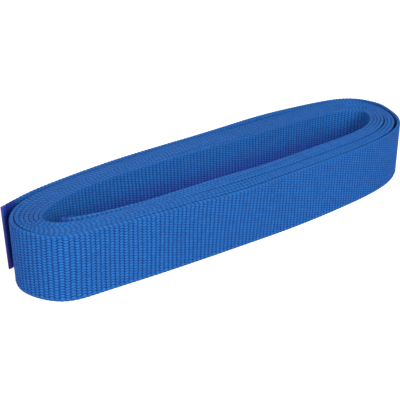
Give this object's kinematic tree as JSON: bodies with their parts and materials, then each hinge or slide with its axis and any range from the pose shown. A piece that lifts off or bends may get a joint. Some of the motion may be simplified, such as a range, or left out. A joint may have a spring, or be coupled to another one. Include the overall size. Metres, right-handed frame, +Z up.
{
  "type": "flat webbing strap hank",
  "caption": "Flat woven webbing strap with plain sealed ends, wound on its edge into a long narrow hank and standing on that edge.",
  "frame": {"origin": "centre of the hank's outline box, on the surface it stands on", "axes": "+X along the hank towards its rounder right end, +Y towards the back run, +Z up across the webbing's width"},
  "size_m": [0.4138, 0.1208, 0.05],
  "materials": {
    "webbing": "woven polyester, matte with a slight sheen on the yarns",
    "sealed_edge": "yarn ends melted together, darker and harder than the weave"
  },
  "bodies": {
    "hank": {"front_run": "webbing", "right_bends": "webbing", "back_run": "webbing", "left_bends": "webbing"},
    "outer_end": {"outer_free_end": "webbing", "outer_end_seal": "sealed_edge"},
    "inner_end": {"inner_free_end": "webbing", "inner_end_seal": "sealed_edge"}
  },
  "joints": [
    {"name": "outer_lift", "type": "hinge", "parent": "hank", "child": "outer_end", "pos_m": [-0.146, 0.05197, 0.025], "axis": [0, 0, -1], "range_deg": [0, 70], "stiffness_Nm_per_rad": 0.02},
    {"name": "inner_lift", "type": "hinge", "parent": "hank", "child": "inner_end", "pos_m": [-0.134, -0.01987, 0.025], "axis": [0, 0, -1], "range_deg": [0, 25], "stiffness_Nm_per_rad": 0.02}
  ]
}
